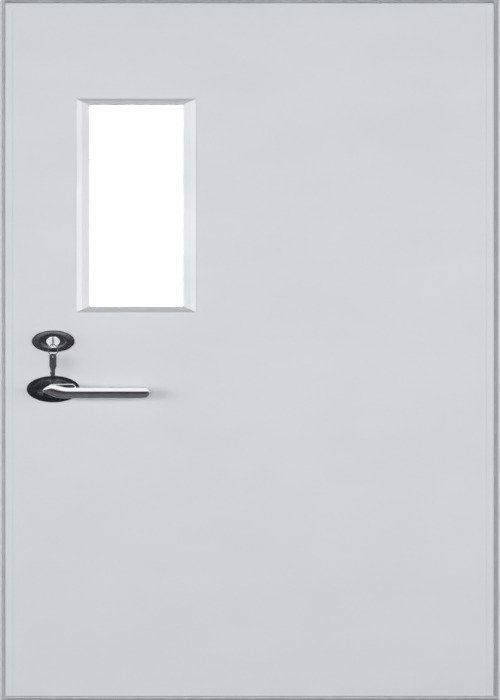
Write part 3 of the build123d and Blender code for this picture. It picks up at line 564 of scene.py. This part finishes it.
hinge_steel = mottled("hinge_steel", [(0.55, 0.55, 0.54), (0.66, 0.66, 0.65)], scale=50.0,
                      roughness=(0.33, 0.37), rough_scale=90.0, Metallic=1.0)
leaf_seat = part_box("back_sheet")[1].y + PLATE_THICKNESS
for number in (1, 2, 3):
    dress([f"hinge_frame_{number}", f"hinge_leaf_{number}"], hinge_steel, bevel=0.0006)
    leaf_low, leaf_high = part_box(f"hinge_leaf_{number}")
    frame_low, frame_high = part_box(f"hinge_frame_{number}")
    knuckle_radius = (leaf_high.y - leaf_low.y) / 2
    pin_x = leaf_high.x - knuckle_radius
    pin_y = leaf_high.y - knuckle_radius
    leaf_trim = bmesh.new()
    add_cap(leaf_trim, (pin_x, pin_y, leaf_high.z), -90)
    for reach in LEAF_SCREWS:
        for height in (leaf_low.z + SCREW_FROM_END, leaf_high.z - SCREW_FROM_END):
            add_screw(leaf_trim, (leaf_low.x + reach, leaf_seat, height), 180)
    link_piece(f"hinge_trim_leaf_{number}", leaf_trim, hinge_steel, "leaf")
    frame_trim = bmesh.new()
    add_cap(frame_trim, (pin_x, pin_y, frame_low.z), 90)
    for height in (frame_low.z + SCREW_FROM_END, leaf_low.z - SCREW_FROM_END):
        add_screw(frame_trim, (frame_high.x - FRAME_SCREW, frame_low.y + PLATE_THICKNESS, height), 180)
    link_piece(f"hinge_trim_frame_{number}", frame_trim, hinge_steel, "root")


# Floor: pale where the door stands, fading to the white of the studio far out. Metal
# that mirrors it sees a dark floor, which keeps the under side of the lever dark.
FLOOR_SIZE = 80.0
FLOOR_HIDDEN = (0.10, 0.10, 0.10, 1)
NEAR_FADE = (1.0, 3.5)
FAR_FADE = (10.0, 38.0)
FAR_TONES = (0.58, 1.0)


def seen_rays(tree):
    """One for the rays that show a thing to the camera, straight on or through glass."""
    rays = add_node(tree, "LightPath", {}).outputs
    either = add_node(tree, "Math", {0: rays["Is Camera Ray"], 1: rays["Is Transmission Ray"]},
                      operation="MAXIMUM")
    return either.outputs["Value"]


plain_floor = bmesh.new()
bmesh.ops.create_grid(plain_floor, x_segments=1, y_segments=1, size=FLOOR_SIZE / 2)
floor_mesh = bpy.data.meshes.new("floor")
plain_floor.to_mesh(floor_mesh)
plain_floor.free()
floor = bpy.data.objects.new("floor", floor_mesh)
bpy.context.scene.collection.objects.link(floor)
floor_paint = new_material("floor_paint", Roughness=0.9)
tree = floor_paint.node_tree
seen = seen_rays(tree)
pale = blend_colours(tree, noise(tree, 2.0), (0.86, 0.86, 0.86), (0.88, 0.88, 0.88))
# A colour mix has its two colours at inputs 6 and 7, and its result at output 2.
shade = add_node(tree, "Mix", {"Factor": seen, 6: FLOOR_HIDDEN, 7: pale}, data_type="RGBA")
feed(floor_paint, "Base Color", shade.outputs[2])
place = add_node(tree, "TexCoord", {}).outputs["Object"]
away = add_node(tree, "VectorMath", {0: place}, operation="LENGTH").outputs["Value"]
beyond = spread(tree, away, 0.0, 1.0, *NEAR_FADE, interpolation_type="SMOOTHSTEP")
glow = add_node(tree, "Emission", {"Strength": spread(tree, away, *FAR_TONES, *FAR_FADE)})
share = add_node(tree, "Math", {0: seen, 1: beyond}, operation="MULTIPLY")
painted = tree.nodes["Principled BSDF"].outputs["BSDF"]
ground = add_node(tree, "MixShader", {0: share.outputs["Value"], 1: painted, 2: glow.outputs["Emission"]})
tree.links.new(ground.outputs["Shader"], tree.nodes["Material Output"].inputs["Surface"])
floor.data.materials.append(floor_paint)


# Lamps: soft boxes well out to the sides, before and behind, so that light grazes the
# door evenly, and a broad fill on either face that leaves no glint on metal. Sizes are
# (width, height) in metres.
SIDE_ANGLE = math.radians(54)
SIDE_DISTANCE = 8.0
SIDE_SIZE = (7.0, 2.4)
FILL_DISTANCE = 9.0
FILL_SIZE = (5.0, 2.4)
LAMP_HEIGHT = 1.35
LAMP_POWER = 151
LAMP_SPREAD = math.radians(120)


def soft_box(name, x, y, size):
    """A rectangular lamp aimed level at the door's middle, that the camera doesn't see."""
    lamp = bpy.data.lights.new(name, "AREA")
    lamp.shape = "RECTANGLE"
    lamp.size, lamp.size_y = size
    lamp.energy = LAMP_POWER
    lamp.spread = LAMP_SPREAD
    box = bpy.data.objects.new(name, lamp)
    bpy.context.scene.collection.objects.link(box)
    box.location = (x, y, LAMP_HEIGHT)
    box.rotation_euler = Vector((-x, -y, 0)).to_track_quat("-Z", "Y").to_euler()
    box.visible_camera = False
    return box


for along in (-1, 1):
    for across in (-1, 1):
        soft_box(f"side_box_{along}_{across}", across * SIDE_DISTANCE * math.sin(SIDE_ANGLE),
                 along * SIDE_DISTANCE * math.cos(SIDE_ANGLE), SIDE_SIZE)
    fill = soft_box(f"fill_{along}", 0, along * FILL_DISTANCE, FILL_SIZE)
    fill.visible_glossy = False


# World: plain white to the camera and through the glass. Metal mirrors a studio that is
# dark up to the horizon and bright above it, and all else gets a faint even light.
AMBIENT = 0.015
STUDIO_LOWEST = 0.035
STUDIO_LEVELS = [(0.56, 0.03), (0.66, 0.60), (0.74, 1.0)]

world = bpy.data.worlds.new("studio")
bpy.context.scene.world = world
world.use_nodes = True
tree = world.node_tree
heading = add_node(tree, "TexCoord", {}).outputs["Generated"]
height = add_node(tree, "SeparateXYZ", {"Vector": heading}).outputs["Z"]
studio = add_node(tree, "ValToRGB", {"Fac": spread(tree, height, 0.0, 1.0, -1.0, 1.0)})
stops = studio.color_ramp.elements
stops[0].color = (STUDIO_LOWEST, STUDIO_LOWEST, STUDIO_LOWEST, 1)
stops[1].color = (1, 1, 1, 1)
for position, tone in STUDIO_LEVELS:
    stops.new(position).color = (tone, tone, tone, 1)
glossy = add_node(tree, "LightPath", {}).outputs["Is Glossy Ray"]
lit = add_node(tree, "Mix", {"Factor": glossy, "A": AMBIENT, "B": studio.outputs["Color"]})
strength = add_node(tree, "Mix", {"Factor": seen_rays(tree), "A": lit.outputs["Result"], "B": 1.0})
background = tree.nodes["Background"].inputs
background["Color"].default_value = (1, 1, 1, 1)
tree.links.new(strength.outputs["Result"], background["Strength"])


# Camera: straight in front of the leaf and far away behind a long lens, so that the
# leaf's edges show hardly any perspective. The view is set by its height at the leaf.
LEAF_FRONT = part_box("front_sheet")[0].y
VIEW_HEIGHT = 2.005
VIEW_MIDDLE = 1.0281
CAMERA_DISTANCE = 20.0

camera = bpy.data.cameras.new("camera")
camera.sensor_width = 36.0
camera.lens = camera.sensor_width * CAMERA_DISTANCE / VIEW_HEIGHT
camera.clip_end = 100.0
viewer = bpy.data.objects.new("camera", camera)
bpy.context.scene.collection.objects.link(viewer)
viewer.location = (0, LEAF_FRONT - CAMERA_DISTANCE, VIEW_MIDDLE)
viewer.rotation_euler = (math.radians(90), 0, 0)
bpy.context.scene.camera = viewer
bpy.context.scene.view_settings.view_transform = "Standard"
